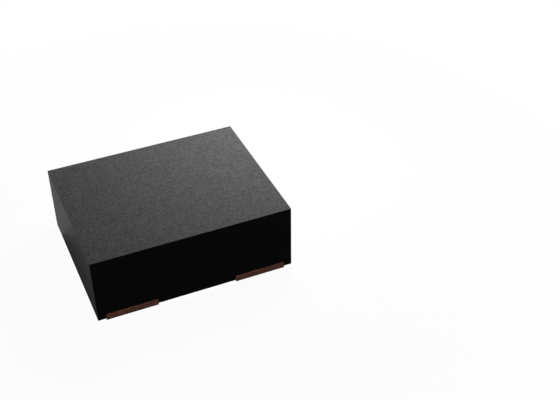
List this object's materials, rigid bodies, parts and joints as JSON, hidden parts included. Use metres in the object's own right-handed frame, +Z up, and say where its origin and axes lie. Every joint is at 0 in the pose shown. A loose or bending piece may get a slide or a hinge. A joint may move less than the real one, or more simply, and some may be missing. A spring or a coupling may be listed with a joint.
{
  "type": "bulk acoustic wave oscillator",
  "caption": "Moulded surface-mount oscillator with a stacked acoustic resonator die, wire bonded to copper leads that end in solder pads.",
  "frame": {"origin": "middle of the package's outline, on the plane that the four solder pads stand on", "axes": "+X along the long side, from pads 1 and 4 towards pads 2 and 3; +Y across; +Z up, away from the board. Pad 1 is at -X, -Y, and the pads count anticlockwise seen from above"},
  "size_m": [0.0024, 0.002, 0.0009],
  "materials": {
    "mould_compound": "matte",
    "lead_copper": "satin",
    "pad_plating": "satin",
    "silicon": "satin",
    "attach_film": "matte",
    "bond_wire": "satin"
  },
  "bodies": {
    "root": {"bond_wire_1_enable": "bond_wire", "bond_wire_2_ground": "bond_wire", "bond_wire_3_output": "bond_wire", "bond_wire_4_supply": "bond_wire", "die_attach_film": "attach_film", "lead_1_enable": "lead_copper", "lead_2_ground": "lead_copper", "lead_3_output": "lead_copper", "lead_4_supply": "lead_copper", "mould_body": "mould_compound", "oscillator_die": "silicon", "plating_1_enable": "pad_plating", "plating_2_ground": "pad_plating", "plating_3_output": "pad_plating", "plating_4_supply": "pad_plating", "resonator_attach_film": "attach_film", "resonator_die": "silicon", "resonator_wire_1": "bond_wire", "resonator_wire_2": "bond_wire", "resonator_wire_3": "bond_wire", "resonator_wire_4": "bond_wire"}
  },
  "joints": []
}
